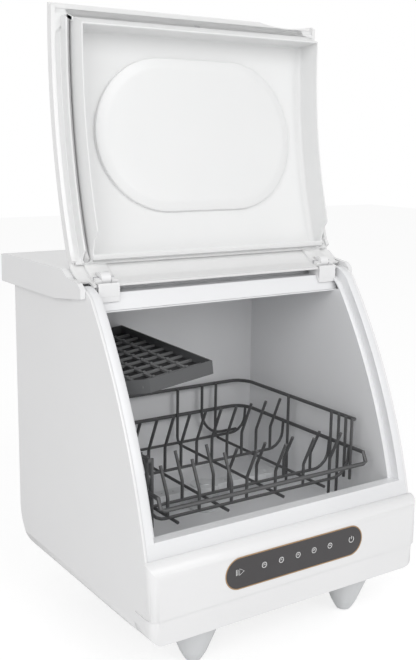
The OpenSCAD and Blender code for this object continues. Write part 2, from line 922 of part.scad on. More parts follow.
function wire_ring(p, t, u, d, sides) = let (v = cross(t, u))
    [for (k = [0:sides - 1]) p + d / 2 * (cos(360 * k / sides) * u + sin(360 * k / sides) * v)];
function wire_faces(from, to, sides) = [for (k = [0:sides - 1]) let (m = (k + 1) % sides)
    [from * sides + k, from * sides + m, to * sides + m, to * sides + k]];

// Wire with two ends
module wire(p, d, sides = 8) {
    n = len(p);
    s = wire_sides(p);
    polyhedron([for (i = [0:n - 1]) each wire_ring(p[i], wire_dir(p, i), s[i], d, sides)],
        concat([[for (k = [sides - 1:-1:0]) k]],
            [for (i = [0:n - 2]) each wire_faces(i, i + 1, sides)],
            [[for (k = [0:sides - 1]) (n - 1) * sides + k]]), convexity = 4);
}

// Wire bent into a closed loop
module closed_wire(p, d, sides = 8) {
    n = len(p);
    q = concat([p[n - 1]], p, [p[0], p[1]]);
    s = wire_sides(q);
    polyhedron([for (i = [1:n]) each wire_ring(q[i], wire_dir(q, i), s[i], d, sides)],
        [for (i = [0:n - 1]) each wire_faces(i, (i + 1) % n, sides)], convexity = 6);
}

weld = (rail_d + tine_d) / 2 - 0.7;
side_in = rack_x - weld;
row_y = [-118, -70, 30, 108];
cross_x = [-135, -45, 45, 135];

// Right half of the middle rail, from the back to the dropped front
function middle_rail(n) = concat(bend([0, rack_back, rack_mid], [rack_x, rack_back, rack_mid],
    [rack_x, rack_loop, rack_mid], 26), [[rack_x, rack_loop + 6, rack_mid],
    [rack_x, rack_loop + 1, rack_mid - 12], [rack_x - 5, rack_loop, rack_mid - 14]]);

module rack_frame() {
    c = 26;
    color("dimgray") {
        wire(rounded([[-rack_x, rack_front, rack_top], [-rack_x, rack_back, rack_top],
            [rack_x, rack_back, rack_top], [rack_x, rack_front, rack_top]], c), rail_d);
        closed_wire([for (s = [1, -1]) each s > 0 ? middle_rail(1)
            : [for (k = [len(middle_rail(1)) - 1:-1:0]) let (q = middle_rail(1)[k]) [-q.x, q.y, q.z]]], rail_d);
        // Floor wires, turned up at both ends inside the middle rail
        for (y = row_y) wire(rounded([[-side_in, y, rack_mid + 3], [-side_in, y, rack_floor],
            [side_in, y, rack_floor], [side_in, y, rack_mid + 3]], 22), tine_d);
        // Wires from front to back, turned up at the back
        for (x = cross_x) wire(rounded([[x, rack_loop + 22, rack_floor - 3.3],
            [x, rack_back - weld, rack_floor - 3.3], [x, rack_back - weld, rack_top + 1]], 12),
            tine_d);
        // Posts at the front ends of the top rail
        for (s = [-1, 1], k = [0:3]) wire([
            [s * side_in, rack_front + 3 + 14 * k, rack_top + 1.5],
            [s * side_in, rack_front + 3 + 14 * k, k < 2 ? rack_floor - 4 : tub_floor + fit]], tine_d);
        for (s = [-1, 1]) wire([[s * side_in, rack_back - 40, rack_top + 1.5],
            [s * side_in, rack_back - 40, tub_floor + fit]], tine_d);
    }
}

module tine(x, y, h) {
    wire([[x, y, rack_floor + tine_d / 2 + 0.1], [x, y, rack_floor + 0.45 * h], [x - 3, y + 12, rack_floor + 0.7 * h],
        [x, y + 16, rack_floor + h]], tine_d);
}

module rack_tines() {
    color("dimgray") for (y = row_y, x = [-4 * tine_gap + 18:tine_gap:4 * tine_gap - 18])
        tine(x, y, y < -100 ? 40 : 70);
}

// ---- Cup tray ----
module tray_outline(i) {
    c = 12;
    polygon([[i, c], [c, i], [tray_w - i, i], [tray_w - i, tray_l - i], [i, tray_l - i]]);
}

module tray_place() {
    translate([-tub_half + 14, tray_front, tray_z]) rotate([0, -tray_tilt, 0]) children();
}

module cup_tray() {
    pitch = 16;
    color("dimgray") tray_place() {
        difference() {
            linear_extrude(tray_h) tray_outline(0);
            translate([0, 0, -1]) linear_extrude(tray_h + 2) tray_outline(tray_t);
        }
        linear_extrude(8) intersection() {
            tray_outline(tray_t / 2);
            union() {
                for (k = [-20:20]) translate([tray_w / 2 + k * pitch, tray_l / 2]) rotate(45)
                    square([1.6, 500], center = true);
                for (k = [-20:20]) translate([tray_w / 2 + k * pitch, tray_l / 2]) rotate(-45)
                    square([1.6, 500], center = true);
            }
        }
    }
}

module tray_hooks() {
    color("dimgray") for (y = [tray_front + 30, tray_front + tray_l - 50])
        translate([-tub_half + 0.3, y, tray_z - 4]) {
            cube([15, 14, 4]);
            cube([3, 14, 18]);
        }
}

left_side_panel();
right_side_panel();
base_pan();
base_front_strip();
front_panel();
back_panel();
top_cover();
top_cover_base();
tub();
header_bar();
hinge_block_left();
hinge_block_right();
hinge_pin_left();
hinge_pin_right();
control_fascia();
control_trim();
touch_board();
foot_front_left();
foot_front_right();
foot_rear_left();
foot_rear_right();
sump();
wash_pump();
drain_pump();
heater();
inlet_valve();
water_inlet();
drain_outlet();
cord_gland();
back_screws();
base_screws();
spray_hub();
lid_skin();
lid_liner();
lid_oval_panel();
lid_seal();
lid_magnet();
lid_hinge_left();
lid_hinge_right();
rack_frame();
rack_tines();
cup_tray();
tray_hooks();
spray_arm();
filter_cup();
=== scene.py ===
import math

import bmesh
import bpy
from mathutils import Matrix, Vector


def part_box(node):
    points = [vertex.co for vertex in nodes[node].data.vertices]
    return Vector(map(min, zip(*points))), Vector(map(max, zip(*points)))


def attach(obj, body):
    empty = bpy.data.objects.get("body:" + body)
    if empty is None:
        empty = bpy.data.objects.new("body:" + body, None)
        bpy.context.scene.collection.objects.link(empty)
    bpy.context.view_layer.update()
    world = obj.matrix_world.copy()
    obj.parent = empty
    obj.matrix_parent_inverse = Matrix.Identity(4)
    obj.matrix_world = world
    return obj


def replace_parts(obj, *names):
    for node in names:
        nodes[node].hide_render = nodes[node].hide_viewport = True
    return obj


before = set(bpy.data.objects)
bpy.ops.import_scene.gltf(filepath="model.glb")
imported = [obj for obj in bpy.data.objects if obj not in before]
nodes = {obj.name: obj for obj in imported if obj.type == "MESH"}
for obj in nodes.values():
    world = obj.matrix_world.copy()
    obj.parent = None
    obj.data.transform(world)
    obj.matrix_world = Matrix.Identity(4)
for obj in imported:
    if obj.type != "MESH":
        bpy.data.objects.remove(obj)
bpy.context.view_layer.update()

# ---- Studio ----
# A white table top in an even white room, with two large soft lamps in front
# of the dishwasher, one on each side. The camera stands in front on the left,
# higher than the lid's hinge, and looks down a little.
scene = bpy.context.scene
scene.view_settings.view_transform = "Standard"

camera = bpy.data.objects.new("camera", bpy.data.cameras.new("camera"))
scene.collection.objects.link(camera)
camera.data.lens = 52.33
camera.data.sensor_width = 36.0
camera.data.clip_end = 50.0
camera_place = (-0.724885, -1.073192, 0.636885)
turn, dip, roll = math.radians(34.132), math.radians(11.386), math.radians(0.81)
ahead = Vector((math.sin(turn) * math.cos(dip), math.cos(turn) * math.cos(dip), -math.sin(dip)))
level = Vector((math.cos(turn), -math.sin(turn), 0.0))
upright = level.cross(ahead)
right = math.cos(roll) * level + math.sin(roll) * upright
top = -math.sin(roll) * level + math.cos(roll) * upright
looking = Matrix((right, top, -ahead)).transposed()
camera.matrix_world = Matrix.Translation(camera_place) @ looking.to_4x4()
scene.camera = camera


def lamp(name, place, aim, size, power):
    light = bpy.data.lights.new(name, "AREA")
    light.shape = "SQUARE"
    light.size = size
    light.energy = power
    ob = bpy.data.objects.new(name, light)
    ob.location = place
    ob.rotation_euler = (Vector(aim) - Vector(place)).to_track_quat("-Z", "Y").to_euler()
    scene.collection.objects.link(ob)


lamp("key_lamp", (0.5, -2.7, 2.0), (0.0, 0.0, 0.35), 1.8, 27.0)
lamp("fill_lamp", (-2.3, -1.7, 1.5), (0.0, 0.0, 0.35), 1.6, 24.0)

# The room lights the object at 0.60, and shows as plain white where the camera,
# a reflection or a clear part looks at it
world = bpy.data.worlds.new("room")
scene.world = world
world.use_nodes = True
room = world.node_tree
room_light = room.nodes["Background"]
room_light.inputs["Color"].default_value = (1.0, 1.0, 1.0, 1.0)
room_light.inputs["Strength"].default_value = 0.60
seen_room = room.nodes.new("ShaderNodeBackground")
seen_room.inputs["Color"].default_value = (1.0, 1.0, 1.0, 1.0)
seen_room.inputs["Strength"].default_value = 1.0
room_rays = room.nodes.new("ShaderNodeLightPath")
looked_at = room_rays.outputs["Is Camera Ray"]
for kind in ("Is Glossy Ray", "Is Transmission Ray"):
    either = room.nodes.new("ShaderNodeMath")
    either.operation = "MAXIMUM"
    room.links.new(looked_at, either.inputs[0])
    room.links.new(room_rays.outputs[kind], either.inputs[1])
    looked_at = either.outputs[0]
room_mix = room.nodes.new("ShaderNodeMixShader")
room.links.new(looked_at, room_mix.inputs[0])
room.links.new(room_light.outputs[0], room_mix.inputs[1])
room.links.new(seen_room.outputs[0], room_mix.inputs[2])
room.links.new(room_mix.outputs[0], room.nodes["World Output"].inputs["Surface"])

# The table is matt paper, which glows white to the camera and keeps the shadow
table_half, table_drop = 6.0, 0.0002
floor_mesh = bpy.data.meshes.new("floor")
table_top = bmesh.new()
bmesh.ops.create_grid(table_top, x_segments=2, y_segments=2, size=table_half)
bmesh.ops.translate(table_top, verts=table_top.verts, vec=(0.0, 0.0, -table_drop))
table_top.to_mesh(floor_mesh)
table_top.free()
floor = bpy.data.objects.new("floor", floor_mesh)
scene.collection.objects.link(floor)
paper = bpy.data.materials.new("studio_paper")
paper.use_nodes = True
paper_tree = paper.node_tree
matt = paper_tree.nodes["Principled BSDF"]
matt.inputs["Base Color"].default_value = (0.93, 0.93, 0.93, 1.0)
matt.inputs["Roughness"].default_value = 0.9
matt.inputs["Specular IOR Level"].default_value = 0.0
shade = paper_tree.nodes.new("ShaderNodeBsdfDiffuse")
shade.inputs["Color"].default_value = (0.36, 0.36, 0.36, 1.0)
glow = paper_tree.nodes.new("ShaderNodeEmission")
glow.inputs["Color"].default_value = (1.0, 1.0, 1.0, 1.0)
glow.inputs["Strength"].default_value = 0.74
both = paper_tree.nodes.new("ShaderNodeAddShader")
paper_rays = paper_tree.nodes.new("ShaderNodeLightPath")
paper_mix = paper_tree.nodes.new("ShaderNodeMixShader")
paper_tree.links.new(shade.outputs[0], both.inputs[0])
paper_tree.links.new(glow.outputs[0], both.inputs[1])
paper_tree.links.new(paper_rays.outputs["Is Camera Ray"], paper_mix.inputs[0])
paper_tree.links.new(matt.outputs[0], paper_mix.inputs[1])
paper_tree.links.new(both.outputs[0], paper_mix.inputs[2])
paper_tree.links.new(paper_mix.outputs[0], paper_tree.nodes["Material Output"].inputs["Surface"])
floor_mesh.materials.append(paper)

# ---- Side panels ----
# The two side walls are injection-moulded ABS in gloss white, each one shell
# whose lower and rear edges are rounded into the underside and the back.
# The base pan and the back panel fit between them.
surface = bpy.data.node_groups.new("moulded_surface", "ShaderNodeTree")
for name, low, high, start in (("Scale", 1.0, 4000.0, 60.0), ("Spread", 0.0, 1.0, 0.5)):
    socket = surface.interface.new_socket(name, in_out="INPUT", socket_type="NodeSocketFloat")
    socket.min_value, socket.max_value, socket.default_value = low, high, start
for name in ("Dark", "Light"):
    surface.interface.new_socket(name, in_out="INPUT", socket_type="NodeSocketColor")
surface.interface.new_socket("Colour", in_out="OUTPUT", socket_type="NodeSocketColor")
surface.interface.new_socket("Height", in_out="OUTPUT", socket_type="NodeSocketFloat")
surface.interface.new_socket("Roughness", in_out="OUTPUT", socket_type="NodeSocketFloat")
inside = surface.nodes.new("NodeGroupInput")
outside = surface.nodes.new("NodeGroupOutput")
where = surface.nodes.new("ShaderNodeTexCoord")
cloud = surface.nodes.new("ShaderNodeTexNoise")
cloud.inputs["Scale"].default_value = 9.0
cloud.inputs["Detail"].default_value = 3.0
grain = surface.nodes.new("ShaderNodeTexNoise")
grain.inputs["Detail"].default_value = 2.0
blend = surface.nodes.new("ShaderNodeMix")
blend.data_type = "RGBA"
level_of_gloss = surface.nodes.new("ShaderNodeMapRange")
level_of_gloss.inputs["To Min"].default_value = 0.24
level_of_gloss.inputs["To Max"].default_value = 0.40
surface.links.new(where.outputs["Object"], cloud.inputs["Vector"])
surface.links.new(where.outputs["Object"], grain.inputs["Vector"])
surface.links.new(inside.outputs["Scale"], grain.inputs["Scale"])
surface.links.new(cloud.outputs["Fac"], blend.inputs["Factor"])
surface.links.new(inside.outputs["Dark"], blend.inputs["A"])
surface.links.new(inside.outputs["Light"], blend.inputs["B"])
surface.links.new(cloud.outputs["Fac"], level_of_gloss.inputs["Value"])
surface.links.new(blend.outputs["Result"], outside.inputs["Colour"])
surface.links.new(grain.outputs["Fac"], outside.inputs["Height"])
surface.links.new(level_of_gloss.outputs["Result"], outside.inputs["Roughness"])


def moulding(name, dark, light, scale=900.0, depth=0.02, metal=0.0, rough=None, coat=0.0):
    mat = bpy.data.materials.new(name)
    mat.use_nodes = True
    tree = mat.node_tree
    skin = tree.nodes["Principled BSDF"]
    skin.inputs["Metallic"].default_value = metal
    skin.inputs["Coat Weight"].default_value = coat
    skin.inputs["Coat Roughness"].default_value = 0.08
    look = tree.nodes.new("ShaderNodeGroup")
    look.node_tree = surface
    look.inputs["Scale"].default_value = scale
    look.inputs["Dark"].default_value = (*dark, 1.0)
    look.inputs["Light"].default_value = (*light, 1.0)
    bump = tree.nodes.new("ShaderNodeBump")
    bump.inputs["Strength"].default_value = depth * 10.0
    bump.inputs["Distance"].default_value = 0.0001
    tree.links.new(look.outputs["Colour"], skin.inputs["Base Color"])
    if rough is None:
        tree.links.new(look.outputs["Roughness"], skin.inputs["Roughness"])
    else:
        skin.inputs["Roughness"].default_value = rough
    tree.links.new(look.outputs["Height"], bump.inputs["Height"])
    tree.links.new(bump.outputs["Normal"], skin.inputs["Normal"])
    return mat


def round_edges(ob, width, segments):
    rounded = ob.modifiers.new("rounded_edges", "BEVEL")
    rounded.width = width
    rounded.segments = segments
    rounded.limit_method = "ANGLE"
    rounded.angle_limit = math.radians(38)
    rounded.harden_normals = True


def finish_node(name, mat, edge=0.0):
    ob = nodes[name]
    ob.data.materials.clear()
    ob.data.materials.append(mat)
    if edge:
        weld = ob.modifiers.new("joined", "WELD")
        weld.merge_threshold = 0.00002
        round_edges(ob, edge, 2)


def ring(mesh, points):
    verts = [mesh.verts.new(p) for p in points]
    return [mesh.edges.new((a, b)) for a, b in zip(verts, verts[1:] + verts[:1])]


def loft(mesh, rings, closed=False):
    loops = [ring(mesh, points) for points in rings]
    pairs = list(zip(loops, loops[1:]))
    if closed:
        pairs.append((loops[-1], loops[0]))
    for near, far in pairs:
        bmesh.ops.bridge_loops(mesh, edges=near + far)
    if not closed:
        bmesh.ops.holes_fill(mesh, edges=loops[0])
        bmesh.ops.holes_fill(mesh, edges=loops[-1])


def slab(mesh, outline, low, high, place=Vector):
    corners = [mesh.verts.new(place((low, p[0], p[1]))) for p in outline]
    made = bmesh.ops.extrude_face_region(mesh, geom=[mesh.faces.new(corners)])
    moved = [v for v in made["geom"] if isinstance(v, bmesh.types.BMVert)]
    bmesh.ops.translate(mesh, verts=moved, vec=(high - low, 0.0, 0.0))


def settle(mesh, name, mat, body, edge=0.0, segments=3):
    bmesh.ops.recalc_face_normals(mesh, faces=mesh.faces)
    data = bpy.data.meshes.new(name)
    mesh.to_mesh(data)
    mesh.free()
    data.materials.append(mat)
    data.shade_smooth()
    data.set_sharp_from_angle(angle=math.radians(32))
    ob = bpy.data.objects.new(name, data)
    scene.collection.objects.link(ob)
    if edge:
        round_edges(ob, edge, segments)
    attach(ob, body)
    return ob


outer_white = moulding("outer_white", (0.80, 0.80, 0.805), (0.83, 0.83, 0.835), coat=0.25)
for name in ("left_side_panel", "right_side_panel"):
    finish_node(name, outer_white, 0.0006)
# Return flange behind each end of the front panel
flange_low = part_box("base_front_strip")[1][2] + 0.0002
flange_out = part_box("right_side_panel")[1][0] - 0.0003
flange_wide, flange_back, flange_top = 0.006, -0.1958, 0.1460
flange_outline = [(-0.2064, flange_low), (-0.2062, 0.1200), (-0.2040, flange_top)]
flange_outline += [(flange_back, flange_top), (flange_back, flange_low)]
flanges = bmesh.new()
for side in (-1.0, 1.0):
    low, high = sorted((side * flange_out, side * (flange_out - flange_wide)))
    slab(flanges, flange_outline, low, high)
settle(flanges, "panel_flanges", outer_white, "body")

# ---- Base, back and top cover ----
# The base pan and the lower front strip are white ABS, the back panel is
# painted steel, and the top cover is a white moulding that overhangs the
# sides and the back. Steel screws go into the pan and the back.
back_white = moulding("back_white", (0.76, 0.765, 0.77), (0.80, 0.80, 0.80), scale=1500.0, depth=0.04)
zinc = moulding("zinc_screws", (0.42, 0.42, 0.44), (0.55, 0.55, 0.56), metal=1.0)
for name in ("base_pan", "back_panel"):
    finish_node(name, back_white, 0.0004)
for name in ("base_front_strip", "top_cover"):
    finish_node(name, outer_white, 0.0008)
finish_node("top_cover_base", back_white, 0.0006)
for name in ("base_screws", "back_screws"):
    finish_node(name, zinc)

# ---- Front panel and control strip ----
# A white ABS front with a sloped sill and, let into it, a dark grey touch
# strip with round ends inside a thin copper-coloured trim. The touch board
# lies behind it.
finish_node("front_panel", outer_white, 0.0008)
fascia_grey = moulding("fascia_grey", (0.036, 0.033, 0.035), (0.046, 0.042, 0.044), coat=0.4)
copper = moulding("copper_trim", (0.40, 0.25, 0.13), (0.50, 0.33, 0.19), metal=0.6, rough=0.30)
board_green = moulding("board_green", (0.02, 0.12, 0.05), (0.04, 0.18, 0.08))
finish_node("control_fascia", fascia_grey, 0.0003)
finish_node("control_trim", copper, 0.0002)
finish_node("touch_board", board_green)


def bent(points, radius, steps=5):
    path = [Vector(points[0])]
    for a, b, c in zip(points, points[1:], points[2:]):
        a, b, c = Vector(a), Vector(b), Vector(c)
        u, v = (a - b).normalized(), (c - b).normalized()
        half = u.angle(v) / 2.0
        hub = b + (u + v).normalized() * radius / math.sin(half)
        first, last = b + u * radius / math.tan(half), b + v * radius / math.tan(half)
        for k in range(steps + 1):
            path.append(hub + (first.lerp(last, k / steps) - hub).normalized() * radius)
    path.append(Vector(points[-1]))
    return path


def tube(mesh, path, width, closed=False, sides=10):
    path = [Vector(p) for p in path]
    count = len(path)
    turns = [2.0 * math.pi * k / sides for k in range(sides)]
    ahead = []
    for k in range(count):
        before = path[k - 1] if closed or k else path[0]
        after = path[(k + 1) % count] if closed or k < count - 1 else path[-1]
        ahead.append((after - before).normalized())
    side = ahead[0].orthogonal().normalized()
    rings = []
    for point, forward in zip(path, ahead):
        side = (side - forward * side.dot(forward)).normalized()
        other = forward.cross(side)
        rings.append([point + (side * math.cos(a) + other * math.sin(a)) * width / 2.0 for a in turns])
    loft(mesh, rings, closed)


# Plain touch marks: start, five round programme keys and the power key
mark_white = moulding("mark_white", (0.85, 0.85, 0.85), (0.90, 0.90, 0.90), rough=0.5)
mark_y, mark_z, mark_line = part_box("control_fascia")[0][1] + 0.0002, 0.1252, 0.0009
start_bars, power_x = (-0.0935, -0.0912), 0.0908
programme_keys = (-0.0513, -0.0249, 0.0017, 0.0277, 0.0541)
key_r, power_r = 0.0034, 0.0040
marks = bmesh.new()


def stroke(points, closed=False):
    tube(marks, [(x, mark_y, mark_z + z) for x, z in points], mark_line, closed)


def arc_of(x, radius, first, last, steps=24):
    turns = [math.radians(first + (last - first) * k / steps) for k in range(steps + 1)]
    return [(x + radius * math.sin(a), radius * math.cos(a)) for a in turns]


for x in start_bars:
    stroke([(x, -0.0038), (x, 0.0038)])
stroke([(-0.0886, 0.0042), (-0.0886, -0.0042), (-0.0820, 0.0)], closed=True)
for x in programme_keys:
    stroke(arc_of(x, key_r, 0.0, 345.0), closed=True)
    stroke([(x - 0.0016, -0.0004), (x, 0.0016), (x + 0.0014, -0.0006)])
stroke(arc_of(power_x, power_r, 35.0, 325.0))
stroke([(power_x, 0.0008), (power_x, 0.0048)])
settle(marks, "touch_marks", mark_white, "body")

# ---- Feet ----
# Four soft white plastic cones with a rounded tip, one near each corner.
# They lie against the underside of the base pan and carry the whole machine.
foot_white = moulding("foot_white", (0.62, 0.63, 0.64), (0.72, 0.73, 0.74), depth=0.05, rough=0.55)
for name in ("foot_front_left", "foot_front_right", "foot_rear_left", "foot_rear_right"):
    finish_node(name, foot_white)

# ---- Wash tub ----
# The tub is one moulded white shell with a flange round its mouth, which the
# lid's seal lands on, and a header bar across the top of the mouth.
tub_white = moulding("tub_white", (0.78, 0.785, 0.80), (0.82, 0.825, 0.835), coat=0.15)
finish_node("tub", tub_white, 0.0006)
finish_node("header_bar", tub_white, 0.0006)

# ---- Hinges ----
# Two moulded hinge blocks behind the tub's mouth hold steel pins, and the
# lid's ears turn on them. Each block has a plate over its front and, between the
# ears, a round knuckle on the pin.
steel = moulding("pin_steel", (0.50, 0.50, 0.52), (0.62, 0.62, 0.63), metal=1.0, rough=0.3)
for name in ("hinge_block_left", "hinge_block_right"):
    finish_node(name, outer_white, 0.0006)
for name in ("hinge_pin_left", "hinge_pin_right"):
    finish_node(name, steel)
block_low, block_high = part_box("hinge_block_right")
pin_y, pin_z = -0.0315, 0.4642
knuckle_r, knuckle_inset, knuckle_sides = 0.0082, 0.0081, 40
plate = [(-0.0464, 0.4430), (-0.0464, 0.4590), (-0.0459, 0.4596), (-0.0434, 0.4600), (-0.0434, 0.4430)]
turns = [2.0 * math.pi * k / knuckle_sides for k in range(knuckle_sides)]
knuckle = [(pin_y + knuckle_r * math.cos(a), pin_z + knuckle_r * math.sin(a)) for a in turns]
covers = bmesh.new()
for side in (-1.0, 1.0):
    for shape, inset in ((plate, 0.0), (knuckle, knuckle_inset)):
        low, high = sorted((side * (block_low[0] + inset), side * (block_high[0] - inset)))
        slab(covers, shape, low, high)
settle(covers, "hinge_covers", outer_white, "body", 0.0004)

# ---- Pumps, heater and water fittings ----
# Grey plastic pumps and a steel flow heater between the tub and the base
# pan, with the inlet, the drain and the cord gland on the back.
pump_grey = moulding("pump_grey", (0.10, 0.10, 0.11), (0.16, 0.16, 0.17))
gland_black = moulding("gland_black", (0.02, 0.02, 0.02), (0.035, 0.035, 0.035), rough=0.5)
for name in ("sump", "wash_pump", "drain_pump", "inlet_valve"):
    finish_node(name, pump_grey)
finish_node("heater", steel)
for name in ("water_inlet", "drain_outlet"):
    finish_node(name, foot_white, 0.0004)
finish_node("cord_gland", gland_black, 0.0004)

# ---- Spray arm and filter ----
# The white plastic arm turns on a hub in the middle of the tub floor, and a
# white filter cup lifts out of the sump.
spray_white = moulding("spray_white", (0.62, 0.63, 0.64), (0.70, 0.71, 0.72))
for name in ("spray_hub", "spray_arm", "filter_cup"):
    finish_node(name, spray_white, 0.0004)

# ---- Lid ----
# A gloss white outer skin with a shallow finger scoop, and a white inner
# liner moulded as one tray: a deep wall down each side, a groove with a grey
# rubber seal beside it, a wedge-shaped end wall, and a raised oval on its floor.
lid_white = moulding("lid_white", (0.80, 0.80, 0.80), (0.83, 0.83, 0.83), coat=0.25)
inner_white = moulding("inner_white", (0.78, 0.785, 0.785), (0.81, 0.812, 0.812), coat=0.10)
seal_grey = moulding("seal_grey", (0.58, 0.58, 0.58), (0.66, 0.66, 0.66), rough=0.6)
lid_turn = Matrix.Rotation(math.radians(-163.5), 4, "X")
lid_pin = Vector((0.0, pin_y, pin_z))
# The rim seen from the side: a long arc up the front, which meets a tight one
# over the top at the seam. Angles are in degrees round each arc's own centre.
long_c, long_r = (0.59826, -0.02622), 0.812
tight_c, tight_r = (-0.03332, 0.41601), 0.04099
arc_seam = 145.0
long_last = arc_seam + 0.001


def rim(angle, out):
    centre, radius = (long_c, long_r) if angle > arc_seam else (tight_c, tight_r)
    a = math.radians(angle)
    return (centre[0] + (radius + out) * math.cos(a), centre[1] + (radius + out) * math.sin(a))


def height_angle(z, out):
    return 180.0 - math.degrees(math.asin((z - long_c[1]) / (long_r + out)))


def at_height(z, out):
    return rim(height_angle(z, out), out)


def opened(point):
    return lid_turn @ (Vector(point) - lid_pin) + lid_pin


def lid_place(x, point):
    return opened((x, point[0], point[1]))


for name in ("lid_hinge_left", "lid_hinge_right"):
    finish_node(name, lid_white, 0.0006)

# Outer skin: a sheet bent over the rim, scooped on its lower edge, then
# thickened, with a stiffening wall inside each end and a turned-in lower rim
half_lid, lid_low, skin_out, skin_top = 0.2078, 0.1700, 0.0110, 0.46973
block_in, block_out = block_low[0], block_high[0]
notch_gap, ear_wide, step_gap = 0.0008, 0.0074, 0.0048
step_in = block_out + step_gap
bend_c, bend_r, bend_last = (-0.02847, 0.41263), 0.0579, 100.98
scoop_x, scoop_r, scoop_half, scoop_deep = 0.1600, 0.2320, 0.0475, 0.0048


def lower_edge(x):
    if abs(x - scoop_x) > scoop_half:
        return lid_low
    return lid_low + scoop_deep - scoop_r + math.sqrt(scoop_r**2 - (x - scoop_x) ** 2)


def skin_path(x):
    start = height_angle(lower_edge(x), skin_out)
    second = height_angle(lid_low + 0.0075, skin_out)
    path = [rim(start, skin_out)]
    path += [rim(second + (long_last - second) * k / 44, skin_out) for k in range(45)]
    for k in range(1, 15):
        a = math.radians(arc_seam + (bend_last - arc_seam) * k / 14)
        path.append((bend_c[0] + bend_r * math.cos(a), bend_c[1] + bend_r * math.sin(a)))
    return path + [(y, skin_top) for y in (-0.03805, -0.0315, -0.0245, -0.0181)]


# The sheet's columns lie closer at the scoop, and at each hinge they follow
# the notch for the block, so that whole faces can be left out there
notch = [block_in - notch_gap, block_in + ear_wide, block_out - ear_wide, block_out + notch_gap, step_in]
columns = [side * x for side in (-1.0, 1.0) for x in notch + [half_lid]]
columns += [-0.1200, -0.0800, -0.0400, 0.0000, 0.0400, 0.0800]
columns += [scoop_x - scoop_half + 0.005 * k for k in range(19)]
columns = sorted(set(round(x, 5) for x in columns))
skin = bmesh.new()
rows = [[skin.verts.new(lid_place(x, p)) for p in skin_path(x)] for x in columns]
last = len(rows[0]) - 1
for x0, x1, near, far in zip(columns, columns[1:], rows, rows[1:]):
    middle = abs(x0 + x1) / 2.0
    stop = last
    if middle > step_in:
        stop = last - 2
    elif block_in + ear_wide < middle < block_out - ear_wide:
        stop = last - 4
    elif block_in - notch_gap < middle < block_out + notch_gap:
        stop = last - 1
    for k in range(stop):
        skin.faces.new((near[k], near[k + 1], far[k + 1], far[k]))
bmesh.ops.delete(skin, geom=[v for v in skin.verts if not v.link_faces], context="VERTS")
skin_ob = settle(skin, "outer_skin", lid_white, "lid")
outward = skin_ob.data.polygons[0].normal.dot(lid_turn @ Vector((0.0, -1.0, 0.0)))
thick = skin_ob.modifiers.new("wall", "SOLIDIFY")
thick.thickness = 0.0030
thick.offset = -1.0 if outward > 0.0 else 1.0
thick.use_even_offset = True
round_edges(skin_ob, 0.0008, 3)
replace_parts(skin_ob, "lid_skin")


def end_arc(out):
    start = height_angle(lid_low + 0.0006, out)
    arc = [rim(start + (long_last - start) * k / 30, out) for k in range(31)]
    return arc + [rim(arc_seam - 2.5 * k, out) for k in range(1, 9)]


rims = bmesh.new()
stiffener = end_arc(0.0085) + end_arc(0.0008)[::-1]
for side in (-1.0, 1.0):
    low, high = sorted((side * (half_lid - 0.0056), side * (half_lid - 0.0003)))
    slab(rims, stiffener, low, high, opened)
lip_top, lip_outer, lip_inner = 0.17495, 0.0104, 0.0062
lips = []
for x in columns:
    if abs(x) > half_lid - 0.0001:
        x = math.copysign(half_lid - 0.0004, x)
    edge = lower_edge(x) + 0.0003
    lip = [at_height(edge, lip_outer), at_height(edge, 0.0066), at_height(edge + 0.0003, lip_inner)]
    lip += [at_height(lip_top, lip_inner), at_height(lip_top, lip_outer)]
    lips.append([lid_place(x, p) for p in lip])
loft(rims, lips)
settle(rims, "skin_rims", lid_white, "lid")

# Inner tray. Each station is a cross-section, from the middle to the outer wall
# beside the seal. Towards the hinge the side walls grow shallow and end, and a
# row of hinge_end gives a station's angle, wall edge and lip edge there.
floor_out, deep, shallow = 0.0026, -0.0350, -0.0118
tray_low, wall_end, tray_half = 0.1813, -0.0125, 0.1844
hinge_end = (
    (146.15, -0.0350, shallow), (145.95, -0.0336, shallow), (145.70, -0.0295, shallow),
    (145.50, -0.0245, shallow), (145.05, -0.0205, shallow), (143.50, -0.0197, shallow),
    (141.50, -0.0190, shallow), (138.00, -0.0178, shallow), (134.00, -0.0160, -0.0080),
    (130.00, -0.0145, -0.0020), (126.50, -0.0130, 0.0008), (123.50, -0.0120, 0.0010),
    (120.50, shallow, 0.0010),
)
stations = [(None, k / 44.0, deep, shallow) for k in range(42)]
stations += [(angle, 0.0, low, lip) for angle, low, lip in hinge_end]
liner = bmesh.new()
rings = []
for angle, share, low, lip in stations:
    half = [
        (0.0, floor_out), (0.1745, floor_out), (0.1775, floor_out - 0.0006), (0.1799, floor_out - 0.0022),
        (0.1814, floor_out - 0.0048), (0.1819, floor_out - 0.0080), (0.1822, low + 0.0012),
        (0.1825, low + 0.0003), (0.1832, low), (0.1841, low + 0.0003), (tray_half, low + 0.0012),
        (0.1846, -0.0020), (0.1850, 0.0016), (0.1862, floor_out), (0.1902, floor_out), (0.1912, 0.0018),
        (0.1915, lip + 0.0006), (0.1918, lip), (0.1936, lip), (0.1940, lip + 0.0006), (0.1942, 0.0024),
        (0.1950, 0.0030), (0.2020, 0.0030), (0.2020, 0.0056), (0.0, 0.0056),
    ]
    if low > wall_end:
        half = [(x, max(out, low)) for x, out in half]
    full = half[:-1] + [(-x, out) for x, out in half[-2:0:-1]]
    spots = []
    for x, out in full:
        start = height_angle(tray_low, out)
        turn_at = start + (long_last - start) * share if angle is None else angle
        spots.append(lid_place(x, rim(turn_at, out)))
    rings.append(spots)
loft(liner, rings)
